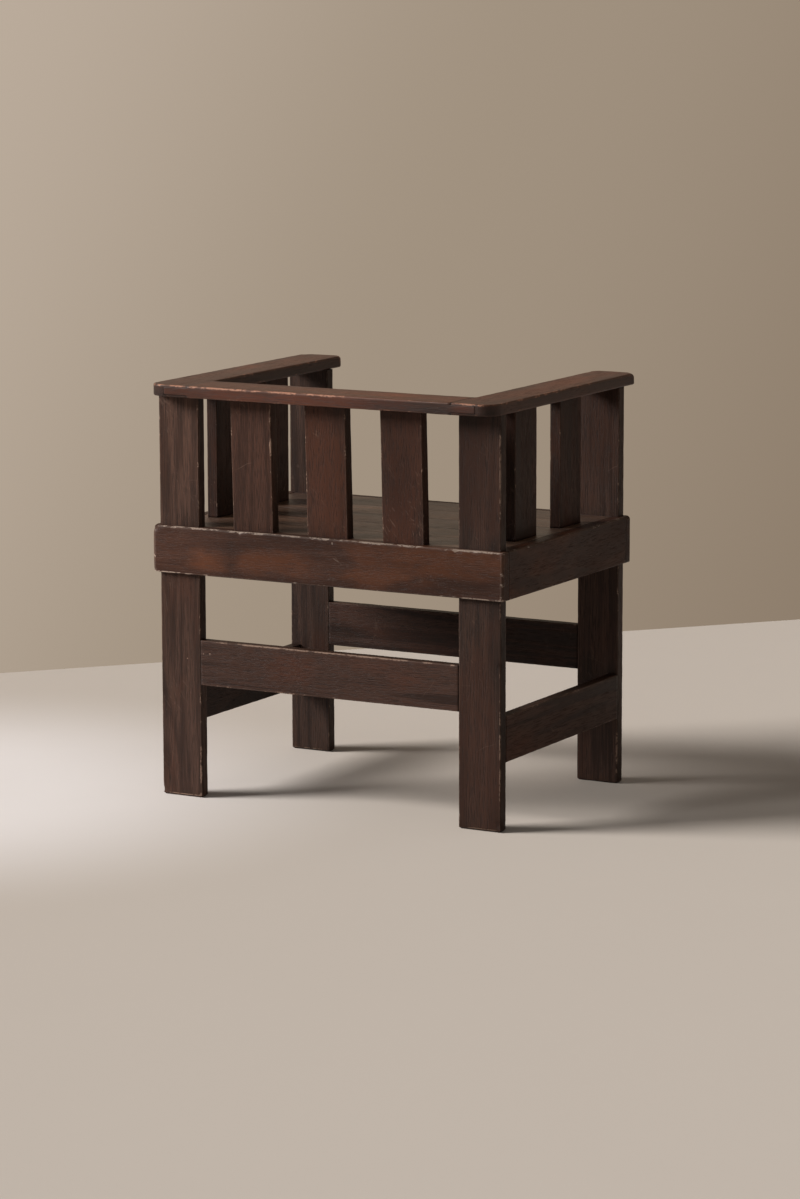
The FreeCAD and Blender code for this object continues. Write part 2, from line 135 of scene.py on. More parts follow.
class Wiring:
    """Places nodes in a tree and links them, so that an effect reads as a few lines."""

    def __init__(self, tree: NodeTree) -> None:
        """Works on one tree."""
        self.tree = tree

    def feed(self, socket: NodeSocket, value: object) -> None:
        """Links a socket to another or to a node's first output, or sets it to a plain value.

        Args:
            socket: the input to feed.
            value: a node, a socket or a plain value.
        """
        value = value.outputs[0] if isinstance(value, Node) else value
        if isinstance(value, NodeSocket):
            self.tree.links.new(value, socket)
        else:
            socket.default_value = (*value, 1.0) if socket.type == "RGBA" else value

    def add(self, kind: str, inputs: dict | None = None, **settings: object) -> Node:
        """Adds a node.

        Args:
            kind: the node's type name.
            inputs: values or sockets for its inputs, by name or number.
            settings: its properties.

        Returns:
            The new node.
        """
        node = self.tree.nodes.new(kind)
        for name, value in settings.items():
            setattr(node, name, value)
        for key, value in (inputs or {}).items():
            self.feed(node.inputs[key], value)
        return node

    def math(self, operation: str, *values: object) -> NodeSocket:
        """Result of a Math node on the values."""
        return self.add("ShaderNodeMath", dict(enumerate(values)), operation=operation).outputs[0]

    def times(self, first: object, second: object) -> NodeSocket:
        """Product of two values."""
        return self.math("MULTIPLY", first, second)

    def times_plus(self, first: object, second: object, third: object) -> NodeSocket:
        """Product of the first two values, plus the third."""
        return self.math("MULTIPLY_ADD", first, second, third)

    def vector(self, operation: str, *values: object) -> NodeSocket:
        """Vector result of a Vector Math node on the values."""
        node = self.add("ShaderNodeVectorMath", dict(enumerate(values)), operation=operation)
        return node.outputs["Vector"]

    def step(self, value: object, low: float, high: float) -> NodeSocket:
        """Smooth step of the value from 0 at low to 1 at high; low may lie above high."""
        return self.add("ShaderNodeMapRange", {"Value": value, "From Min": low, "From Max": high},
                        interpolation_type="SMOOTHSTEP").outputs[0]

    def scaled(self, vector: object, factor: object) -> NodeSocket:
        """The vector times one number."""
        result = self.vector("SCALE", vector)
        self.feed(result.node.inputs["Scale"], factor)
        return result

    def noise(self, vector: object, stretch: Place, detail: float, distortion: float = 0.0) -> NodeSocket:
        """Noise on a vector with each axis multiplied."""
        return self.add("ShaderNodeTexNoise", {
            "Vector": self.vector("MULTIPLY", vector, stretch), "Scale": 1.0, "Detail": detail,
            "Roughness": 0.55, "Distortion": distortion}).outputs[0]

    def blend(self, factor: object, first: object, second: object, how: str = "MIX") -> NodeSocket:
        """Mixes two colours."""
        return self.add("ShaderNodeMix", {0: factor, 6: first, 7: second}, data_type="RGBA",
                        blend_type=how).outputs[2]

    def close(self, out: Node, *results: object) -> NodeTree:
        """Feeds a group's outputs in order and returns its tree."""
        for socket, result in zip(out.inputs, results):
            self.feed(socket, result)
        return self.tree

    def shown(self) -> NodeSocket:
        """1 where the camera sees the surface, directly or in a reflection."""
        path = self.add("ShaderNodeLightPath").outputs
        return self.math("MAXIMUM", path["Is Camera Ray"], path["Is Glossy Ray"])

    def end(self, shader: Node, kind: str = "ShaderNodeOutputMaterial") -> None:
        """Ends a material or a world in its shader."""
        self.feed(self.add(kind).inputs["Surface"], shader)


def new_material(name: str) -> tuple[Material, Wiring]:
    """Starts a material with an empty tree.

    Args:
        name: its name.

    Returns:
        The material and the wiring of its tree.
    """
    material = bpy.data.materials.new(name)
    material.use_nodes = True
    material.node_tree.nodes.clear()
    return material, Wiring(material.node_tree)


def make_tree(name: str, kind: str, inputs: Sequence[tuple], outputs: Sequence[tuple]
              ) -> tuple[Wiring, dict, Node]:
    """Starts a node group.

    Args:
        name: the group's name.
        kind: its tree type.
        inputs: the name, socket type and, if it has one, default of each input.
        outputs: the name and socket type of each output.

    Returns:
        The wiring, the input sockets by name, and the output node.
    """
    tree = bpy.data.node_groups.new(name, kind)
    for title, shape, *default in inputs:
        socket = tree.interface.new_socket(name=title, in_out="INPUT", socket_type=f"NodeSocket{shape}")
        if default:
            socket.default_value = default[0]
    for title, shape in outputs:
        tree.interface.new_socket(name=title, in_out="OUTPUT", socket_type=f"NodeSocket{shape}")
    net = Wiring(tree)
    entry = net.add("NodeGroupInput")
    return net, {socket.name: socket for socket in entry.outputs}, net.add("NodeGroupOutput")


class OakFigure:
    """The node group that draws oak: growth rings, fibres, open pores and ray flecks."""

    NAME = "oak_figure"
    RING_PLACES: Place = (11.0, 11.0, 0.9)
    RING_COUNT = 9.0
    FIBRES: Place = (760.0, 760.0, 12.0)
    PORES: Place = (950.0, 950.0, 45.0)
    FLECKS: Place = (55.0, 55.0, 190.0)
    FLECK_TURN = 0.9
    CLUSTERS = 11.0
    PORE_EDGES = (0.58, 0.72)
    FLECK_EDGES = (0.6, 0.7)
    CLUSTER_EDGES = (0.5, 0.66)
    RELIEF = (0.35, 0.08, 0.6)

    def build(self) -> NodeTree:
        """Builds the group.

        Returns:
            The group.
        """
        net, given, out = make_tree(self.NAME, "ShaderNodeTree", [
            ("Board", "Vector")],
            [(title, "Float") for title in ("Rings", "Fibres", "Pores", "Flecks", "Height")])
        board = given["Board"]
        field_noise = net.noise(board, self.RING_PLACES, 2.0, 0.35)
        turns = net.times(field_noise, self.RING_COUNT * math.tau)
        rings = net.times_plus(net.math("SINE", turns), 0.5, 0.5)
        fibres = net.noise(board, self.FIBRES, 3.0)
        speckle = net.noise(board, self.PORES, 1.0)
        crowded = net.times_plus(rings, 0.1, speckle)
        pores = net.step(crowded, *self.PORE_EDGES)
        turned = net.add("ShaderNodeVectorRotate", {
            "Vector": board, "Angle": self.FLECK_TURN}, rotation_type="Y_AXIS")
        ribbons = net.noise(turned, self.FLECKS, 1.5, 1.6)
        clusters = net.noise(board, (self.CLUSTERS,) * 3, 1.0)
        flecks = net.times(net.step(ribbons, *self.FLECK_EDGES),
                           net.step(clusters, *self.CLUSTER_EDGES))
        fibre_rise, ring_rise, pore_fall = self.RELIEF
        relief = net.times_plus(fibres, fibre_rise, net.times(rings, ring_rise))
        height = net.math("SUBTRACT", relief, net.times(pores, pore_fall))
        return net.close(out, rings, fibres, pores, flecks, height)


class OakPatina:
    """The node group that draws age: warm patches, rubbed arrises, scratches and haze."""

    NAME = "oak_patina"
    WARM: Place = (15.0, 15.0, 6.0)
    RUB_COARSE: Place = (95.0, 95.0, 60.0)
    RUB_FINE: Place = (520.0, 520.0, 260.0)
    HAZE: Place = (9.0, 9.0, 5.0)
    SCRATCH_CELLS = 8.0
    SCRATCH_BEND = 0.03
    SPECK_CELLS = 36.0
    WARM_EDGES = (0.5, 0.76)
    NEAR_EDGES = (0.74, 0.95)
    HAIRLINE = (0.003, 0.0)
    PIT = (0.035, 0.015)

    def build(self) -> NodeTree:
        """Builds the group.

        Returns:
            The group.
        """
        net, given, out = make_tree(self.NAME, "ShaderNodeTree", [
            ("Board", "Vector"), ("Arris", "Float"), ("Warm Place", "Float"),
            ("Bare Place", "Float")],
            [(title, "Float") for title in ("Warm", "Rubbed", "Scratches", "Haze")])
        board = given["Board"]
        cloud = net.noise(board, self.WARM, 4.0, 0.4)
        warm = net.step(net.times_plus(given["Warm Place"], 0.22, cloud), *self.WARM_EDGES)
        rubbed = self._rubbed(net, board, given["Arris"], given["Bare Place"])
        haze = net.noise(board, self.HAZE, 4.0, 0.3)
        scratches = self._scratches(net, board)
        return net.close(out, warm, rubbed, scratches, haze)

    def _rubbed(self, net: Wiring, board: object, arris: object, bare: object) -> NodeSocket:
        """Broken specks and dashes along the arrises, closer together at the bare places.

        Args:
            net: the wiring of the group.
            board: the place along and across the board.
            arris: how near an arris is, from 0 to 1.
            bare: the strength of the bare places.

        Returns:
            The mask of the rubbed wood.
        """
        coarse = net.noise(board, self.RUB_COARSE, 2.0)
        fine = net.noise(board, self.RUB_FINE, 2.0)
        dashes = net.step(net.times_plus(bare, 0.24, coarse), 0.55, 0.66)
        specks = net.step(net.times_plus(bare, 0.16, fine), 0.46, 0.58)
        near = net.step(net.times_plus(bare, 0.1, arris), *self.NEAR_EDGES)
        line = net.times(near, net.times(dashes, specks))
        face = net.step(net.times(bare, net.math("ADD", fine, 0.35)), 0.7, 0.95)
        return net.math("MAXIMUM", net.math("MAXIMUM", line, face), net.times(near, 0.1))

    def _scratches(self, net: Wiring, board: object) -> NodeSocket:
        """Hairline scratches and a few pale specks.

        Args:
            net: the wiring of the group.
            board: the place along and across the board.

        Returns:
            The mask of the scratches.
        """
        bend = net.add("ShaderNodeTexNoise", {"Vector": board, "Scale": 14.0}).outputs["Color"]
        bent = net.vector("ADD", board, net.scaled(bend, self.SCRATCH_BEND))
        cells = net.add("ShaderNodeTexVoronoi", {
            "Vector": bent, "Scale": self.SCRATCH_CELLS}, feature="DISTANCE_TO_EDGE")
        hairline = net.step(cells.outputs["Distance"], *self.HAIRLINE)
        seldom = net.step(net.noise(board, (21.0,) * 3, 1.0), 0.6, 0.7)
        specks = net.add("ShaderNodeTexVoronoi", {"Vector": board, "Scale": self.SPECK_CELLS})
        pit = net.step(specks.outputs["Distance"], *self.PIT)
        chance = net.add("ShaderNodeSeparateColor", {0: specks.outputs["Color"]})
        pit = net.times(pit, net.step(chance, 0.86, 0.9))
        return net.math("MAXIMUM", net.times(hairline, seldom), pit)


@dataclass(frozen=True)
class OakFinish:
    """One way of staining and waxing the oak.

    Args:
        slot: the material slot of the record.
        dark: the stain in the late wood.
        body: the stain on the open wood.
        warm: the redder patches.
        worn: rubbed arrises and scratches.
        warmth: share of the warm patches.
        rubbing: share of the rubbed arrises.
        scratches: how much the scratches stand out.
        flecks: how much the ray flecks stand out.
        figure: how much the growth rings stand out beside the fibres.
        fibres: how crisp the fibres are.
        pores: how dark the open pores are.
        roughness: the middle of the roughness.
        coat: weight of the wax.
        specular: strength of the oil's own shine.
        relief: depth of the grain in metres.
    """

    slot: str
    dark: Colour
    body: Colour
    warm: Colour
    worn: Colour = (0.23, 0.15, 0.11)
    warmth: float = 0.6
    rubbing: float = 0.8
    scratches: float = 0.25
    flecks: float = 0.1
    figure: float = 0.25
    fibres: float = 1.0
    pores: float = 0.5
    roughness: float = 0.46
    coat: float = 0.0
    specular: float = 0.14
    relief: float = 0.0003

    INK = 0.35
    TONE_SHIFT = (3.1, 5.7, 2.3)
    COAT_ROUGHNESS = 0.52

    def material(self, grain: Grain, groups: dict[str, NodeTree]) -> Material:
        """Builds the finish for one direction of the grain.

        Args:
            grain: the way the grain runs.
            groups: the shared node groups by name.

        Returns:
            The material.
        """
        material, net = new_material(f"{self.slot}_{grain.value}")
        place = net.add("ShaderNodeTexCoord").outputs["Object"]
        split = net.add("ShaderNodeSeparateXYZ", {0: place}).outputs
        order = {Grain.X: (1, 2, 0), Grain.Y: (2, 0, 1), Grain.Z: (0, 1, 2)}[grain]
        turned = net.add("ShaderNodeCombineXYZ", {i: split[order[i]] for i in range(3)})
        marks = {title: net.add("ShaderNodeAttribute", attribute_name=title).outputs["Fac"]
                 for title in ("tone", "arris", "warm", "bare", "dark", "joint")}
        board = net.vector("ADD", turned, net.scaled(self.TONE_SHIFT, marks["tone"]))
        figure = net.add("ShaderNodeGroup", {"Board": board}, node_tree=groups[OakFigure.NAME]).outputs
        patina = net.add("ShaderNodeGroup", {
            "Board": board, "Arris": marks["arris"], "Warm Place": marks["warm"],
            "Bare Place": marks["bare"]}, node_tree=groups[OakPatina.NAME]).outputs
        shade = net.times_plus(figure["Rings"], self.figure, figure["Fibres"])
        spread = 0.17 / self.fibres
        middle = 0.5 + self.figure / 2
        colour = net.blend(net.step(shade, middle - spread, middle + spread), self.dark, self.body)
        colour = net.blend(net.times(patina["Warm"], self.warmth), colour, self.warm)
        colour = net.blend(net.times(figure["Flecks"], self.flecks), colour, self.worn)
        inky = tuple(part * self.INK for part in self.dark)
        colour = net.blend(net.times(figure["Pores"], self.pores), colour, inky)
        scars = net.math("MAXIMUM", net.times(patina["Rubbed"], self.rubbing),
                         net.times(patina["Scratches"], self.scratches))
        colour = net.blend(scars, colour, self.worn)
        # The level is the board's tone and haze. The loop below darkens it at the joints and by the dark
        # attribute, which is painted shade, painted light where below 0, and some stain.
        level = net.math("ADD", net.times(marks["tone"], 0.7),
                         net.times_plus(patina["Haze"], 0.5, 0.42))
        for shadow in (net.times(net.step(marks["joint"], 0.5, 0.95), 0.7),
                       net.times(marks["dark"], 0.75)):
            level = net.times(level, net.math("SUBTRACT", 1.0, shadow))
        grey = net.add("ShaderNodeCombineXYZ", {0: level, 1: level, 2: level})
        colour = net.blend(1.0, colour, grey, "MULTIPLY")
        rough = net.times_plus(patina["Haze"], 0.24, self.roughness - 0.12)
        rough = net.times_plus(figure["Pores"], 0.15, rough)
        bump = net.add("ShaderNodeBump", {"Height": figure["Height"], "Distance": self.relief})
        shader = net.add("ShaderNodeBsdfPrincipled", {
            "Base Color": colour, "Roughness": rough, "Normal": bump, "Coat Weight": self.coat,
            "Coat Roughness": self.COAT_ROUGHNESS, "Specular IOR Level": self.specular})
        net.end(shader)
        return material


@dataclass(frozen=True)
class SteelFinish:
    """The dull steel of the screws."""

    name: str = "screw_steel"
    bright: Colour = (0.2, 0.18, 0.16)
    rust: Colour = (0.06, 0.035, 0.022)

    def material(self) -> Material:
        """Builds the material.

        Returns:
            The material.
        """
        material, net = new_material(self.name)
        place = net.add("ShaderNodeTexCoord").outputs["Object"]
        cloud = net.noise(place, (420.0,) * 3, 4.0)
        dull = net.step(cloud, 0.4, 0.62)
        colour = net.blend(dull, self.bright, self.rust)
        rough = net.times_plus(dull, 0.35, 0.35)
        metal = net.times_plus(dull, -0.7, 0.95)
        bump = net.add("ShaderNodeBump", {"Height": cloud, "Distance": 0.0001})
        shader = net.add("ShaderNodeBsdfPrincipled", {
            "Base Color": colour, "Roughness": rough, "Metallic": metal, "Normal": bump})
        net.end(shader)
        return material


class ShapeTrees:
    """The geometry node trees: a row of boards, a row of screws, and wear along the arrises."""

    HEAD_SIDES = 20
    HEAD_DEPTH = 0.0018
    HEAD_BASE = 0.62
    SLOT_LENGTH = 2.2
    SLOT_WIDTH = 0.0009
    SLOT_HEIGHT = 0.0016

    def __init__(self) -> None:
        """Builds the three trees."""
        self.row = self._row()
        self.screws = self._screws()
        self.wear = self._wear()

    @staticmethod
    def _close(net: Wiring, geometry: object, finish: object, out: Node) -> NodeTree:
        """Ends a tree in Realize Instances and Set Material, and returns it."""
        real = net.add("GeometryNodeRealizeInstances", {"Geometry": geometry})
        dressed = net.add("GeometryNodeSetMaterial", {"Geometry": real, "Material": finish})
        return net.close(out, dressed)

    def _row(self) -> NodeTree:
        """Repeats one board at even steps, with a tone of its own for each.

        Returns:
            The tree.
        """
        net, given, out = make_tree("board_row", "GeometryNodeTree", [
            ("Board", "Geometry"), ("Count", "Int", 3), ("Step", "Vector"), ("Seed", "Int"),
            ("Finish", "Material")], [("Boards", "Geometry")])
        line = net.add("GeometryNodeMeshLine", {"Count": given["Count"], "Offset": given["Step"]})
        placed = net.add("GeometryNodeInstanceOnPoints", {"Points": line, "Instance": given["Board"]})
        chance = net.add("FunctionNodeRandomValue", {"Seed": given["Seed"]})
        toned = net.add("GeometryNodeStoreNamedAttribute", {
            "Geometry": placed, "Name": "tone", "Value": chance.outputs[1]}, data_type="FLOAT",
            domain="INSTANCE")
        return self._close(net, toned, given["Finish"], out)

    def _screws(self) -> NodeTree:
        """Sets slotted screw heads along a line, each turned its own way.

        Returns:
            The tree.
        """
        net, given, out = make_tree("screw_row", "GeometryNodeTree", [
            ("Mesh", "Geometry"), ("Count", "Int", 4), ("Start", "Vector"), ("Step", "Vector"),
            ("Radius", "Float", 0.004), ("Facing", "Vector"), ("Seed", "Int"),
            ("Finish", "Material")], [("Screws", "Geometry")])
        head = net.add("GeometryNodeMeshCone", {
            "Vertices": self.HEAD_SIDES, "Radius Top": given["Radius"], "Depth": self.HEAD_DEPTH,
            "Radius Bottom": net.times(given["Radius"], self.HEAD_BASE)}, fill_type="NGON")
        length = net.times(given["Radius"], self.SLOT_LENGTH)
        size = net.add("ShaderNodeCombineXYZ", {0: length, 1: self.SLOT_WIDTH, 2: self.SLOT_HEIGHT})
        blade = net.add("GeometryNodeMeshCube", {"Size": size})
        raised = net.add("GeometryNodeTransform", {
            "Geometry": blade, "Translation": (0.0, 0.0, self.HEAD_DEPTH)})
        slotted = net.add("GeometryNodeMeshBoolean", operation="DIFFERENCE", solver="EXACT")
        net.feed(slotted.inputs[0], head)
        net.feed(slotted.inputs[1], raised)
        line = net.add("GeometryNodeMeshLine", {
            "Count": given["Count"], "Start Location": given["Start"], "Offset": given["Step"]})
        face = net.add("FunctionNodeAlignRotationToVector", {"Vector": given["Facing"]}, axis="Z")
        chance = net.add("FunctionNodeRandomValue", {3: math.tau, "Seed": given["Seed"]})
        spin = net.add("FunctionNodeAxisAngleToRotation", {
            "Axis": (0.0, 0.0, 1.0), "Angle": chance.outputs[1]})
        both = net.add("FunctionNodeRotateRotation", {0: face, 1: spin}, rotation_space="LOCAL")
        placed = net.add("GeometryNodeInstanceOnPoints", {
            "Points": line, "Instance": slotted, "Rotation": both})
        return self._close(net, placed, given["Finish"], out)

    def _wear(self) -> NodeTree:
        """Marks the arrises and rubs them down unevenly.

        Returns:
            The tree.
        """
        net, given, out = make_tree("worn_arris", "GeometryNodeTree", [
            ("Board", "Geometry"), ("Spread", "Float", 0.006), ("Depth", "Float", 0.0003),
            ("Waviness", "Float", 0.00007), ("Chip Depth", "Float", 0.00035), ("Seed", "Float"),
            ("Finish", "Material")], [("Board", "Geometry")])
        normal = net.add("GeometryNodeInputNormal")
        joint, rounding, bite = (net.add("GeometryNodeInputNamedAttribute", {"Name": title},
                                         data_type="FLOAT") for title in ("joint", "round", "chip"))
        worn_edge = net.times(net.math("GREATER_THAN", rounding, 0.5),
                              net.math("LESS_THAN", joint, 0.5))
        arrises = net.add("GeometryNodeSeparateGeometry", {
            "Geometry": given["Board"], "Selection": worn_edge}, domain="POINT")
        near = net.add("GeometryNodeProximity", {0: arrises}, target_element="POINTS")
        spread = net.math("DIVIDE", near.outputs["Distance"], given["Spread"])
        arris = net.math("POWER", net.math("MAXIMUM", net.math("SUBTRACT", 1.0, spread), 0.0), 1.6)
        kept = net.add("GeometryNodeStoreNamedAttribute", {
            "Geometry": given["Board"], "Name": "arris", "Value": arris}, data_type="FLOAT",
            domain="POINT")
        place = net.add("GeometryNodeInputPosition")
        moved = net.add("ShaderNodeCombineXYZ", {2: given["Seed"]})
        seeded = net.vector("ADD", place, moved)
        rub = net.step(net.noise(seeded, (55.0,) * 3, 2.0), 0.4, 0.75)
        wave = net.noise(seeded, (9.0,) * 3, 1.0)
        cells = net.add("ShaderNodeTexVoronoi", {"Vector": seeded, "Scale": 38.0})
        chance = net.add("FunctionNodeSeparateColor", {0: cells.outputs["Color"]})
        chip = net.times(net.step(cells.outputs["Distance"], 0.3, 0.1), net.step(chance, 0.78, 0.82))
        sharp = net.math("POWER", arris, 3.0)
        cut = net.times_plus(net.times(rub, sharp), given["Depth"], net.times(wave, given["Waviness"]))
        cut = net.times_plus(net.times(chip, sharp), given["Chip Depth"], cut)
        cut = net.math("ADD", cut, net.times(bite, MM))
        inward = net.scaled(normal, net.times(cut, -1.0))
        worn = net.add("GeometryNodeSetPosition", {"Geometry": kept, "Offset": inward})
        return self._close(net, worn, given["Finish"], out)


class Bench:
    """Where a board is copied from its solid, cut, worn, finished and put on the frame."""

    STRIP = 8.0 * MM
    NEAR_ARRIS = (2.6 * MM, 6.0 * MM)
    ACROSS = 15.0 * MM
    EASED = 0.45 * MM
    RUBBED = 0.3 * MM
    JOINT_ANGLE = math.radians(50.0)
    ROUND_ANGLE = math.radians(4.0)
    ROUND_WIDTH = 2.6 * MM
    CHAMFER_ANGLE = math.radians(30.0)
    FLAT_ANGLE = math.radians(0.4)
    SHARP_ANGLE = math.radians(42.0)
    MERGED = 2e-6
    CLOSEST_CUTS = 0.5 * MM
    MOST = 2.0
    JOINT = 1
    ROUND = 2

    def __init__(self, nodes: dict[str, Object]) -> None:
        """Sets out the trees, groups and finishes for the frame's nodes.

        Args:
            nodes: the frame's CAD nodes by name.
        """
        self.nodes = nodes
        self.trees = ShapeTrees()
        self.groups = {group.NAME: group.build() for group in (OakFigure(), OakPatina())}
        self.finishes: dict[tuple[str, Grain], Material] = {}

    def finish(self, oak: OakFinish, grain: Grain) -> Material:
        """The material of a finish along one grain, built at its first use.

        Args:
            oak: the finish.
            grain: the way the grain runs.

        Returns:
            The material.
        """
        key = (oak.slot, grain)
        if key not in self.finishes:
            self.finishes[key] = oak.material(grain, self.groups)
        return self.finishes[key]

    def cut_copy(self, node: str, grain: Grain, spots: Iterable[Spot] = ()) -> Mesh:
        """Copies a node's mesh, marks its square edges and small roundings, and cuts it into strips.

        Args:
            node: the CAD node.
            grain: the way its length runs.
            spots: places that need closer cuts.

        Returns:
            The merged and cut mesh.
        """
        mesh = bmesh.new()
        mesh.from_mesh(self.nodes[node].data)
        bmesh.ops.remove_doubles(mesh, verts=mesh.verts, dist=self.MERGED)
        bmesh.ops.dissolve_limit(mesh, angle_limit=self.FLAT_ANGLE, verts=mesh.verts, edges=mesh.edges)
        kind = mesh.edges.layers.int.new("kind")
        for edge in mesh.edges:
            edge[kind] = self._edge_kind(edge)
        low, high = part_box(node)
        along = "xyz".index(grain.value)
        for axis in range(3):
            length = high[axis] - low[axis]
            space = self.STRIP if axis == along else self.ACROSS
            count = max(1, round(length / space))
            cuts = [low[axis] + length * i / count for i in range(1, count)]
            cuts += [edge + sign * gap for edge, sign in ((low[axis], 1), (high[axis], -1))
                     for gap in self.NEAR_ARRIS if gap * 2 < length]
            for spot in spots:
                cuts += spot.cuts(axis)
            self._slice(mesh, axis, [cut for cut in cuts if low[axis] + MM < cut < high[axis] - MM])
        for number, title in ((self.JOINT, "joint"), (self.ROUND, "round")):
            layer = mesh.verts.layers.float.new(title)
            for vertex in mesh.verts:
                vertex[layer] = float(any(edge[kind] == number for edge in vertex.link_edges))
        made = bpy.data.meshes.new(f"{node}_cut")
        mesh.to_mesh(made)
        mesh.free()
        return made

    def _edge_kind(self, edge: bmesh.types.BMEdge) -> int:
        """Tells a square joint and a small rounding from the other edges of a mesh.

        Args:
            edge: the edge.

        Returns:
            JOINT, ROUND, or 0 for any other edge.
        """
        angle = edge.calc_face_angle(0.0)
        if angle > self.JOINT_ANGLE:
            return self.JOINT
        widths = [face.calc_area() / max(edge.calc_length(), MM) for face in edge.link_faces]
        small = angle > self.ROUND_ANGLE and min(widths) < self.ROUND_WIDTH
        return self.ROUND if small or angle > self.CHAMFER_ANGLE else 0

    def _slice(self, mesh: bmesh.types.BMesh, axis: int, cuts: list[float]) -> None:
        """Cuts the mesh by planes square to an axis, and leaves out those too close to the last.

        Args:
            mesh: the mesh.
            axis: the axis, from 0 to 2.
            cuts: places along the axis, in metres.
        """
        facing = Vector([1.0 if i == axis else 0.0 for i in range(3)])
        last = -math.inf
        for cut in sorted(cuts):
            if cut - last < self.CLOSEST_CUTS:
                continue
            last = cut
            parts = list(mesh.verts) + list(mesh.edges) + list(mesh.faces)
            bmesh.ops.bisect_plane(mesh, geom=parts, dist=1e-6, plane_co=facing * cut, plane_no=facing)

    def run_tree(self, mesh: Mesh, tree: NodeTree, values: dict[str, object],
                 eased: float = 0.0) -> Mesh:
        """Runs a geometry node tree on a mesh.

        Args:
            mesh: the mesh to start from.
            tree: the tree.
            values: its inputs by name.
            eased: width of the bevel that sharp edges get first, in metres.

        Returns:
            The result as a plain mesh.
        """
        holder = put("on_the_bench", mesh)
        if eased > 0.0:
            bevel = holder.modifiers.new("eased", "BEVEL")
            bevel.width, bevel.segments = eased, 1
            bevel.limit_method, bevel.angle_limit = "ANGLE", self.JOINT_ANGLE
        modifier = holder.modifiers.new("shape", "NODES")
        modifier.node_group = tree
        sockets = {item.name: item.identifier for item in tree.interface.items_tree
                   if item.in_out == "INPUT"}
        for title, value in values.items():
            modifier[sockets[title]] = value
        graph = bpy.context.evaluated_depsgraph_get()
        made = bpy.data.meshes.new_from_object(holder.evaluated_get(graph), preserve_all_data_layers=True,
                                               depsgraph=graph)
        bpy.data.objects.remove(holder)
        return made

    def paint(self, mesh: Mesh, spots: Iterable[Spot], tone: float | None) -> None:
        """Writes the spots and the tone into the mesh as attributes.

        Args:
            mesh: the mesh.
            spots: its spots.
            tone: the board's tone from 0 to 1, or None where the mesh has tones already.
        """
        if tone is not None:
            layer = mesh.attributes.new("tone", "FLOAT", "POINT")
            layer.data.foreach_set("value", [tone] * len(mesh.vertices))
        for mark in Mark:
            layer = mesh.attributes.new(mark.value, "FLOAT", "POINT")
            chosen = [spot for spot in spots if spot.mark is mark]
            values = [min(self.MOST, sum(spot.strength(vertex.co) for spot in chosen))
                      for vertex in mesh.vertices]
            layer.data.foreach_set("value", values)

    def wear(self, mesh: Mesh, finish: Material, seed: float, depth: float) -> Mesh:
        """Rubs the arrises down and gives the mesh its material."""
        return self.run_tree(mesh, self.trees.wear, {
            "Seed": seed, "Depth": depth, "Finish": finish}, self.EASED)

    def place(self, name: str, mesh: Mesh, slot: str, nodes: Sequence[str] = ()) -> Object:
        """Puts a finished mesh on the frame.

        Args:
            name: the piece's name.
            mesh: its mesh, in place.
            slot: the record's material slot; not used.
            nodes: the CAD nodes that it stands for.

        Returns:
            The piece.
        """
        piece = put(name, mesh)
        for polygon in mesh.polygons:
            polygon.use_smooth = True
        mesh.set_sharp_from_angle(angle=self.SHARP_ANGLE)
        mesh.name = name
        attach(piece, BODY)
        if nodes:
            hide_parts(*nodes)
        LOG.info("piece %s: %d faces", name, len(mesh.polygons))
        return piece

    def board(self, node: str, grain: Grain, oak: OakFinish, tone: float, spots: Sequence[Spot] = (),
              depth: float = RUBBED) -> Object:
        """Makes one worn board from its node and puts it on the frame.

        Args:
            node: the CAD node.
            grain: the way its length runs.
            oak: its finish.
            tone: its tone from 0 to 1, which also moves the grain.
            spots: its spots.
            depth: how deep the arrises are rubbed, in metres.

        Returns:
            The piece.
        """
        mesh = self.cut_copy(node, grain, spots)
        self.paint(mesh, spots, tone)
        mesh = self.wear(mesh, self.finish(oak, grain), tone * 10.0, depth)
        return self.place(f"worn_{node}", mesh, oak.slot, [node])


POST_OAK = OakFinish(
    "oak_posts", (0.02, 0.01, 0.007), (0.05, 0.0255, 0.0176), (0.056, 0.0205, 0.0115), warmth=0.5,
    fibres=0.9)
FRAME_OAK = OakFinish(
    "oak_frame", (0.024, 0.0096, 0.0058), (0.04, 0.0162, 0.0096), (0.076, 0.0255, 0.0108),
    worn=(0.27, 0.205, 0.165), warmth=0.75, flecks=0.04, fibres=0.6, pores=0.35)
STRETCHER_OAK = OakFinish(
    "oak_stretchers", (0.019, 0.009, 0.0062), (0.043, 0.02, 0.0134), (0.06, 0.0205, 0.0108), warmth=0.6,
    flecks=0.12, figure=0.4)
SLAT_OAK = OakFinish(
    "oak_slats", (0.02, 0.0088, 0.0057), (0.04, 0.0174, 0.0112), (0.058, 0.0198, 0.0104), warmth=0.65,
    flecks=0.18, fibres=0.8)
RAIL_OAK = OakFinish(
    "oak_rail", (0.024, 0.0078, 0.0034), (0.046, 0.015, 0.007), (0.072, 0.017, 0.0056),
    worn=(0.28, 0.13, 0.08), warmth=0.7, flecks=0.03, fibres=0.7, roughness=0.44, coat=0.3)
# The seat's colours are its stain made lighter as a painted sheen on its flat top.
SEAT_OAK_PAINTED_SHEEN = OakFinish(
    "oak_seat", (0.037, 0.017, 0.009), (0.083, 0.039, 0.02), (0.096, 0.034, 0.014), roughness=0.4,
    coat=0.6, rubbing=0.3, flecks=0.05)
CLEAT_OAK = OakFinish(
    "oak_cleats", (0.03, 0.0175, 0.012), (0.062, 0.038, 0.026), (0.06, 0.029, 0.017), roughness=0.62,
    rubbing=0.3)


@dataclass
class BoardSet:
    """Boards of one finish, each with its grain, its tone and its own worn places."""

    boards: Boards
    spots: Wear
    oak: OakFinish
    rubbed: float = Bench.RUBBED

    def build(self, bench: Bench) -> None:
        """Makes the boards in order."""
        for node, (grain, tone) in self.boards.items():
            bench.board(node, grain, self.oak, tone, self.spots[node], self.rubbed)


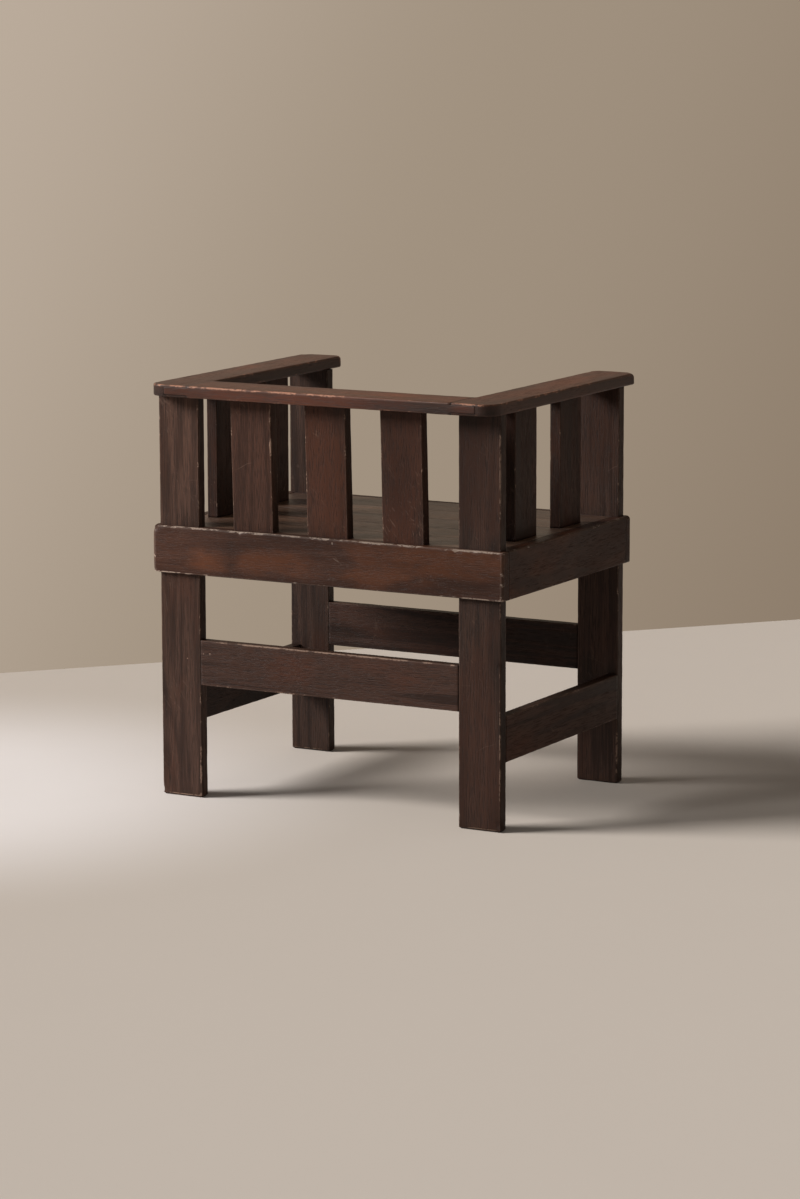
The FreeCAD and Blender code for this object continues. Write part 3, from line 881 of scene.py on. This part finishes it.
@dataclass
class Posts(BoardSet):
    """The four posts, which stand on the floor and carry the arms."""

    oak: OakFinish = POST_OAK
    rubbed: float = 0.35 * MM
    # The back posts' tones are partly painted light: the left one is made lighter and the right one
    # darker, as the light falls off to the right.
    boards: Boards = field(default_factory=lambda: {
        "back_left_post": (Grain.Z, 0.9), "back_right_post": (Grain.Z, 0.06),
        "front_left_post": (Grain.Z, 0.2), "front_right_post": (Grain.Z, 0.5)})
    spots: Wear = field(default_factory=lambda: {
        "back_right_post": (
            *marked(Mark.BARE, (-306, 219, 592, 6, 6, 55, 0.95), (-306, 219, 530, 5, 5, 40, 0.7),
                (-298, 220, 322, 6, 5, 9, 0.75), (-305, 219, 110, 4, 4, 90, 0.8),
                (-270, 219, 3, 40, 6, 3, 1.0)),
            *marked(Mark.CHIP, (-306, 219.5, 14, 8, 6, 7, 1.3), (-306, 219.5, 262, 5, 4, 6, 1.0)),
            # Painted shade darkens the upper rear face.
            *marked(Mark.DARK, (-236, 220, 560, 12, 4, 120, 0.35), (-270, 220, 560, 60, 6, 140, 0.2)),
            *marked(Mark.WARM, (-270, 220, 180, 60, 6, 240, 1.2), (-265, 220, 560, 60, 6, 120, 1.6))),
        "back_left_post": (
            *marked(Mark.CHIP, (306, 219.5, 8, 8, 6, 6, 1.2), (235, 219.5, 6, 6, 6, 5, 1.2)),
            *marked(Mark.BARE, (270, 219, 3, 60, 6, 9, 0.84), (236, 220, 36, 5, 4, 50, 0.86),
                (272, 221, 62, 10, 3, 2.0, 0.95), (258, 220, 226, 1.8, 3, 1.8, 1.6)),
            # Painted light lightens the upper rear face; the second spot darkens a strip along the outer
            # edge low down.
            *marked(Mark.DARK, (270, 220, 580, 60, 6, 130, -0.6), (303, 220, 120, 10, 4, 140, 0.35))),
        "front_right_post": (
            *marked(Mark.CHIP, (-306, -192, 5, 7, 7, 6, 1.2)),
            # Painted shade darkens the upper rear face under the arm, and the warm spot on the same place
            # reddens it.
            *marked(Mark.DARK, (-270, -191, 570, 60, 6, 140, 0.5)),
            *marked(Mark.WARM, (-270, -191, 570, 60, 6, 140, 1.0)),
            *marked(Mark.BARE, (-306, -192, 40, 5, 5, 60, 0.6))),
        "front_left_post": (
            *marked(Mark.CHIP, (234, -192, 5, 7, 7, 6, 1.2)),
            *marked(Mark.BARE, (270, -192, 3, 40, 6, 3, 0.8)),
            # Painted light lightens the upper rear face.
            *marked(Mark.DARK, (270, -191, 590, 60, 6, 110, -0.5)))})


@dataclass
class SeatFrame(BoardSet):
    """The four deep boards that frame the seat."""

    oak: OakFinish = FRAME_OAK
    boards: Boards = field(default_factory=lambda: {
        "back_apron": (Grain.X, 0.55), "front_apron": (Grain.X, 0.3),
        "left_apron": (Grain.Y, 0.45), "right_apron": (Grain.Y, 0.4)})
    spots: Wear = field(default_factory=lambda: {
        "back_apron": (
            # The negative warm spot at the left end paints the cooler light there.
            *marked(Mark.WARM, (214, 229, 398, 52, 8, 26, 1.2), (128, 229, 400, 40, 8, 26, 1.1),
                (40, 229, 398, 60, 8, 24, 0.8), (-150, 229, 402, 170, 8, 40, 1.1),
                (306, 229, 402, 60, 8, 60, -1.6)),
            # Painted light lightens the left end (the negative spot), and painted shade darkens the right
            # end and a line just under the top; the two small spots at the left only darken.
            *marked(Mark.DARK, (170, 229, 400, 12, 6, 36, 0.4), (300, 229, 425, 30, 6, 22, 0.3),
                (306, 229, 402, 120, 8, 60, -0.9), (-250, 229, 402, 90, 8, 60, 0.2),
                (0, 230, 438, 300, 5, 6, 0.3)),
            *marked(Mark.BARE, (240, 227, 440, 75, 6, 3, 1.0), (90, 227, 440, 90, 6, 3, 1.0),
                (-80, 227, 440, 120, 6, 3, 0.9), (-266, 227, 440, 50, 6, 4, 1.5),
                (-232, 228.5, 437, 5, 4, 5, 1.3), (-303, 229, 408, 1.6, 4, 20, 1.4),
                (-313, 227, 400, 3, 4, 40, 0.2), (-270, 228, 365, 60, 4, 3, 1.0),
                (280, 228, 365, 40, 4, 3, 1.0), (154, 228.5, 438, 3, 4, 5, 1.4),
                (-15, 228.7, 433, 1.6, 4, 5, 1.4)),
            *marked(Mark.CHIP, (154, 228.5, 439, 6, 4, 6, 1.3), (-236, 228.5, 438, 10, 4, 7, 1.2),
                (-262, 228.5, 439, 6, 4, 5, 1.0), (-306, 228.5, 436, 9, 4, 9, 1.3),
                (313, 228.5, 438, 8, 8, 8, 4.2), (313, 228.5, 366, 5, 6, 5, 2.0))),
        "right_apron": (
            *marked(Mark.WARM, (-316, 90, 402, 8, 60, 20, 0.5)),
            *marked(Mark.BARE, (-315, 120, 440, 4, 90, 3, 0.3))),
        "left_apron": (
            *marked(Mark.WARM, (316, 60, 402, 8, 80, 20, 0.8)),
            *marked(Mark.BARE, (314, 120, 440, 4, 110, 3, 0.8))),
        "front_apron": (
            *marked(Mark.WARM, (60, -220, 402, 110, 8, 24, 0.6)),
            *marked(Mark.BARE, (0, -219, 439, 200, 6, 4, 0.9)),
            *marked(Mark.CHIP, (92, -218.5, 438, 7, 5, 6, 1.6)))})


@dataclass
class Stretchers(BoardSet):
    """The four rails between the legs."""

    oak: OakFinish = STRETCHER_OAK
    boards: Boards = field(default_factory=lambda: {
        "back_stretcher": (Grain.X, 0.56), "front_stretcher": (Grain.X, 0.15),
        "left_stretcher": (Grain.Y, 0.05), "right_stretcher": (Grain.Y, 0.7)})
    spots: Wear = field(default_factory=lambda: {
        "back_stretcher": (
            *marked(Mark.WARM, (60, 220, 222, 60, 6, 26, 1.2), (-60, 220, 240, 50, 6, 14, 0.8),
                (-150, 220, 225, 60, 6, 22, 0.9)),
            *marked(Mark.BARE, (120, 218, 257, 90, 5, 3, 1.1), (-60, 218, 257, 150, 5, 3, 0.9),
                (228, 220, 236, 1.8, 3, 1.8, 1.5), (216, 220, 237, 2.2, 3, 1.8, 1.7),
                (70, 218, 185, 34, 4, 3, 1.0))),
        "front_stretcher": (
            *marked(Mark.BARE, (-60, -210, 257, 120, 4, 3, 0.6)),),
        "left_stretcher": (
            *marked(Mark.BARE, (306, 40, 181, 4, 120, 3, 0.5)),),
        "right_stretcher": (
            *marked(Mark.BARE, (-306, 40, 181, 4, 120, 3, 0.3)),)})


@dataclass
class SlatRow:
    """Even slats between the seat and the rail above, one row for each side of the chair."""

    name: str
    nodes: tuple[str, ...]
    seed: int
    spots: tuple[Spot, ...] = ()

    def build(self, bench: Bench) -> None:
        """Makes the row from its first slat.

        Args:
            bench: where the row is made.
        """
        first, second = (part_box(node) for node in self.nodes[:2])
        step = (second[0] + second[1] - first[0] - first[1]) / 2
        finish = bench.finish(SLAT_OAK, Grain.Z)
        slat = bench.cut_copy(self.nodes[0], Grain.Z, self.spots)
        row = bench.run_tree(slat, bench.trees.row, {
            "Count": len(self.nodes), "Step": tuple(step), "Seed": self.seed, "Finish": finish})
        bench.paint(row, self.spots, None)
        row = bench.wear(row, finish, float(self.seed), bench.RUBBED)
        bench.place(self.name, row, SLAT_OAK.slot, self.nodes)


@dataclass
class ArmsAndRail(BoardSet):
    """The two arms and the back rail that is tongued into them."""

    oak: OakFinish = RAIL_OAK
    boards: Boards = field(default_factory=lambda: {
        "back_rail": (Grain.X, 0.6), "left_arm": (Grain.Y, 0.48),
        "right_arm": (Grain.Y, 0.3)})
    spots: Wear = field(default_factory=lambda: {
        "back_rail": (
            *marked(Mark.WARM, (150, 250, 658, 140, 8, 12, 1.4), (-60, 250, 658, 140, 8, 12, 1.1),
                (-256, 251, 659, 26, 4, 10, 1.6)),
            *marked(Mark.BARE, (200, 249, 668, 50, 6, 4, 0.7), (110, 249, 668, 70, 6, 4, 0.7),
                (20, 249, 668, 60, 6, 4, 0.6), (262, 251, 662, 10, 3, 3, 0.7)),
            # Painted shade darkens the right part of the rear face, and a painted sheen lightens the top.
            *marked(Mark.DARK, (-200, 251, 654, 150, 4, 14, 0.8), (0, 208, 670, 900, 50, 4, -2.4))),
        "left_arm": (
            # Painted sheen lightens the top; the other two spots darken the back end and, as painted
            # shade, its lower edge.
            *marked(Mark.DARK, (302, 242, 655, 24, 26, 12, 0.9), (272, 0, 671, 60, 900, 4, -2.6),
                (260, 250, 651, 50, 4, 4, 0.6)),
            *marked(Mark.CHIP, (309, -247, 669, 12, 12, 6, 2.4)),
            *marked(Mark.BARE, (262, 248, 668, 40, 5, 4, 0.9), (270, -250, 662, 40, 6, 8, 0.6))),
        "right_arm": (
            # Painted sheen lightens the top and painted light the outer side; the other two spots darken
            # the back end and, as painted shade, its lower edge.
            *marked(Mark.DARK, (-302, 242, 655, 24, 28, 12, 0.9), (-272, 0, 671, 60, 900, 4, -1.6),
                (-309, -30, 660, 4, 500, 12, -0.2), (-260, 250, 651, 50, 4, 4, 0.6)),
            *marked(Mark.WARM, (-272, 0, 671, 60, 900, 6, 1.0), (-255, 250, 655, 30, 8, 14, 0.9)),
            *marked(Mark.CHIP, (-309, -247, 669, 12, 12, 6, 2.4)),
            *marked(Mark.BARE, (-262, 248, 668, 40, 5, 4, 0.6), (-309, 40, 668, 4, 160, 3, 0.5),
                (-270, -250, 662, 40, 6, 8, 0.5)))})


@dataclass
class Seat:
    """The seat boards, and the cleats and bearer that carry them."""

    boards: int = 5
    first_tone: float = 0.2
    tone_step: float = 0.37
    cleats: tuple[tuple[str, Grain], ...] = (
        ("back_cleat", Grain.X), ("front_cleat", Grain.X), ("left_cleat", Grain.Y),
        ("right_cleat", Grain.Y), ("seat_bearer", Grain.Y))
    screws: int = 4
    screw_radius: float = 3.6 * MM
    end_room: float = 45.0 * MM

    def build(self, bench: Bench, steel: Material) -> None:
        """Makes the boards, the cleats and their screws.

        Args:
            bench: where the boards are made.
            steel: the screws' finish.
        """
        for number in range(1, self.boards + 1):
            tone = (self.first_tone + self.tone_step * number) % 1.0
            bench.board(f"seat_board_{number}", Grain.X, SEAT_OAK_PAINTED_SHEEN, tone, (), 0.2 * MM)
        for number, (node, grain) in enumerate(self.cleats):
            bench.board(node, grain, CLEAT_OAK, 0.3 + 0.15 * number, (), 0.4 * MM)
            self._screw_row(bench, steel, node, grain, number)

    def _screw_row(self, bench: Bench, steel: Material, node: str, grain: Grain, seed: int) -> None:
        """Sets screws up through a cleat into the seat boards.

        Args:
            bench: where the screws are made.
            steel: their finish.
            node: the cleat.
            grain: the way it runs.
            seed: turns the slots.
        """
        low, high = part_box(node)
        along = "xyz".index(grain.value)
        start = (low + high) / 2
        start[along] = low[along] + self.end_room
        start[2] = low[2] + 0.5 * MM
        step = Vector((0.0, 0.0, 0.0))
        step[along] = (high[along] - low[along] - 2 * self.end_room) / (self.screws - 1)
        empty = bpy.data.meshes.new(f"{node}_screw_places")
        mesh = bench.run_tree(empty, bench.trees.screws, {
            "Count": self.screws, "Start": tuple(start), "Step": tuple(step),
            "Radius": self.screw_radius, "Facing": (0.0, 0.0, -1.0), "Seed": seed, "Finish": steel})
        bench.place(f"{node}_screws", mesh, CLEAT_OAK.slot)


@dataclass
class Studio:
    """The floor, the wall, the lights and the camera."""

    camera_place: Place = (-3.2029, 5.7823, 1.4289)
    yaw: float = 28.885
    tilt: float = 9.614
    roll: float = 0.157
    lens: float = 187.07
    sensor: float = 36.0
    floor_half: float = 14.0
    wall_left: tuple[float, float] = (1.122, -0.549)
    wall_right: tuple[float, float] = (0.062, -1.76)
    wall_half: float = 7.0
    wall_height: float = 6.0
    wall_colour: Colour = (0.355, 0.285, 0.215)
    # The wall's lit, dim and dark-end colours and their steps paint the fall of light across it.
    wall_painted_lit: Colour = (0.5, 0.415, 0.335)
    wall_painted_dim: Colour = (0.255, 0.195, 0.14)
    wall_painted_dark_end: Colour = (0.06, 0.048, 0.038)
    wall_slant: float = 0.45
    wall_painted_falloff: tuple[tuple[float, float], ...] = ((-1.55, -0.25), (-0.45, 1.25), (1.25, 4.0))
    floor_colour: Colour = (0.552, 0.49, 0.434)
    # The floor's painted pool of light, and where it lies and how far it spreads.
    floor_painted_pool: Colour = (0.84, 0.79, 0.77)
    floor_dusty: Colour = (0.45, 0.4, 0.35)
    painted_pool_place: Place = (0.74, 0.41, 0.0)
    painted_pool_reach: tuple[float, float] = (0.9, 0.25)
    floor_clouds: float = 3.0
    floor_dust: float = 0.12
    floor_roughness: float = 0.6
    floor_shine: float = 0.05
    sky_level: float = 0.22
    sky_colour: Colour = (0.98, 0.97, 0.95)
    key_strength: float = 5.1
    key_angle: float = 23.5
    key_place: Place = (6.0, 3.9, 4.25)
    key_aim: Place = (0.0, 0.0, 0.35)
    key_colour: Colour = (1.0, 0.985, 0.965)

    def build(self) -> None:
        """Makes the whole studio."""
        self._floor()
        self._wall()
        self._sky()
        self._key()
        self._camera()

    @staticmethod
    def _sheet(name: str, corners: Sequence[Place], material: Material) -> None:
        """Makes one flat stage piece from its four corners.

        Args:
            name: its name.
            corners: its corners in order, in metres.
            material: its material.
        """
        mesh = bpy.data.meshes.new(name)
        mesh.from_pydata(corners, [], [(0, 1, 2, 3)])
        mesh.materials.append(material)
        sheet = put(name, mesh)

    def _floor(self) -> None:
        """Makes the pale floor with a soft gloss and a painted pool of light on its left."""
        material, net = new_material("pale_floor")
        place = net.add("ShaderNodeTexCoord").outputs["Object"]
        cloud = net.noise(place, (self.floor_clouds,) * 3, 4.0, 0.5)
        # A painted pool of light: the floor is lighter near a place on the left.
        away = net.add("ShaderNodeVectorMath", {
            0: place, 1: self.painted_pool_place}, operation="DISTANCE").outputs["Value"]
        ground = net.blend(net.step(away, *self.painted_pool_reach), self.floor_colour, self.floor_painted_pool)
        ground = net.blend(net.times(cloud, self.floor_dust), ground, self.floor_dusty)
        rough = net.times_plus(cloud, self.floor_dust, self.floor_roughness)
        net.end(net.add("ShaderNodeBsdfPrincipled", {
            "Base Color": ground, "Roughness": rough, "Specular IOR Level": self.floor_shine}))
        sides = ((-1, -1), (1, -1), (1, 1), (-1, 1))
        self._sheet("floor", [(x * self.floor_half, y * self.floor_half, 0.0) for x, y in sides],
                    material)

    def _wall(self) -> None:
        """Makes the plain wall, which is seen only from its front and casts no shadow. It glows for the
        camera and in reflections, and its colour is painted light that fades from lit to dim to dark
        towards its right end and downward.
        """
        left, right = Vector((*self.wall_left, 0.0)), Vector((*self.wall_right, 0.0))
        along = (right - left).normalized()
        middle = (left + right) / 2
        ends = (middle - along * self.wall_half, middle + along * self.wall_half)
        top = Vector((0.0, 0.0, self.wall_height))
        material, net = new_material("plain_wall")
        place = net.add("ShaderNodeTexCoord").outputs["Object"]
        centred = net.vector("SUBTRACT", place, tuple(middle))
        across = net.add("ShaderNodeVectorMath", {
            0: centred, 1: tuple(along - Vector((0.0, 0.0, self.wall_slant)))},
            operation="DOT_PRODUCT").outputs["Value"]
        # Painted light falloff: the colour steps from lit to dim to dark across the wall.
        colour = self.wall_painted_lit
        for ends_at, shade in zip(self.wall_painted_falloff, (self.wall_colour, self.wall_painted_dim, self.wall_painted_dark_end)):
            colour = net.blend(net.step(across, *ends_at), colour, shade)
        glow = net.add("ShaderNodeEmission", {"Color": colour, "Strength": 1.0})
        matt = net.add("ShaderNodeBsdfDiffuse", {"Color": colour})
        front = net.add("ShaderNodeMixShader", {0: net.shown(), 1: matt, 2: glow})
        clear = net.add("ShaderNodeBsdfTransparent")
        back = net.add("ShaderNodeNewGeometry").outputs["Backfacing"]
        shadow = net.add("ShaderNodeLightPath").outputs["Is Shadow Ray"]
        behind = net.math("MAXIMUM", back, shadow)
        both = net.add("ShaderNodeMixShader", {0: behind, 1: front, 2: clear})
        net.end(both)
        self._sheet("wall", [ends[0], ends[1], ends[1] + top, ends[0] + top], material)

    def _sky(self) -> None:
        """Sets the even light from all round, and the colour seen past the wall."""
        world = bpy.data.worlds.new("studio")
        bpy.context.scene.world = world
        world.use_nodes = True
        world.node_tree.nodes.clear()
        net = Wiring(world.node_tree)
        even, far = (net.add("ShaderNodeBackground", {"Color": colour, "Strength": level})
                     for colour, level in ((self.sky_colour, self.sky_level), (self.wall_colour, 1.0)))
        net.end(net.add("ShaderNodeMixShader", {
            0: net.shown(), 1: even, 2: far}), "ShaderNodeOutputWorld")

    def _key(self) -> None:
        """Hangs the broad soft light on the left."""
        data = bpy.data.lights.new("soft_key", "SUN")
        data.energy, data.angle = self.key_strength, math.radians(self.key_angle)
        data.color = self.key_colour
        lamp = put("soft_key", data)
        lamp.location = self.key_place
        aim = Vector(self.key_aim) - lamp.location
        lamp.rotation_mode = "QUATERNION"
        lamp.rotation_quaternion = aim.to_track_quat("-Z", "Y")

    def _camera(self) -> None:
        """Puts the camera where the photograph was taken."""
        data = bpy.data.cameras.new("camera")
        data.sensor_fit, data.sensor_width, data.lens = "HORIZONTAL", self.sensor, self.lens
        camera = put("camera", data)
        camera.location = self.camera_place
        camera.rotation_euler = (math.radians(90.0 - self.tilt), math.radians(self.roll),
                                 math.radians(180.0 + self.yaw))
        bpy.context.scene.camera = camera
        bpy.context.scene.view_settings.view_transform = "Standard"


def corners(box: tuple[Vector, Vector]) -> list[list[float]]:
    """A box as plain lists of numbers."""
    return [list(map(float, corner)) for corner in box]


def main() -> None:
    """Builds the chair and the studio in order."""
    logging.basicConfig(level=logging.INFO, format="%(message)s")
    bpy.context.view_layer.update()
    bench = Bench(frame["nodes"])
    Posts().build(bench)
    SeatFrame().build(bench)
    Stretchers().build(bench)
    SlatRow("back_slats", ("back_slat_1", "back_slat_2", "back_slat_3"), 3, (
        # The negative warm spot on the left slat paints the cooler light there.
        *marked(Mark.WARM, (0, 222, 520, 34, 12, 110, 1.3), (-135, 222, 500, 34, 12, 90, 0.8),
            (135, 222, 540, 60, 12, 200, -0.6), (0, 222, 540, 60, 12, 160, 1.0),
            (-135, 222, 540, 60, 12, 200, 1.0)),
        # Painted light lightens the left slat and painted shade darkens the right one; the small spot on
        # the left slat only darkens.
        *marked(Mark.DARK, (135, 222, 500, 30, 12, 40, 0.25), (-135, 222, 540, 60, 12, 200, 0.7),
            (135, 222, 540, 60, 12, 200, -0.5)),
        *marked(Mark.BARE, (149, 224, 489, 5, 6, 3, 1.15), (127, 224, 475, 3.5, 6, 4, 1.15),
            (118, 224, 464, 4, 6, 4.5, 1.1), (99, 222, 580, 4, 5, 18, 1.6),
            (99, 222, 640, 3, 5, 25, 0.7)))).build(bench)
    SlatRow("left_slats", ("left_slat_1", "left_slat_2"), 5).build(bench)
    SlatRow("right_slats", ("right_slat_1", "right_slat_2"), 8, (
        # Painted shade darkens the edge face of the second slat.
        *marked(Mark.DARK, (-270, -37, 550, 14, 6, 140, 0.6)),)).build(bench)
    ArmsAndRail().build(bench)
    Seat().build(bench, SteelFinish().material())
    Studio().build()


if __name__ == "__main__":
    main()
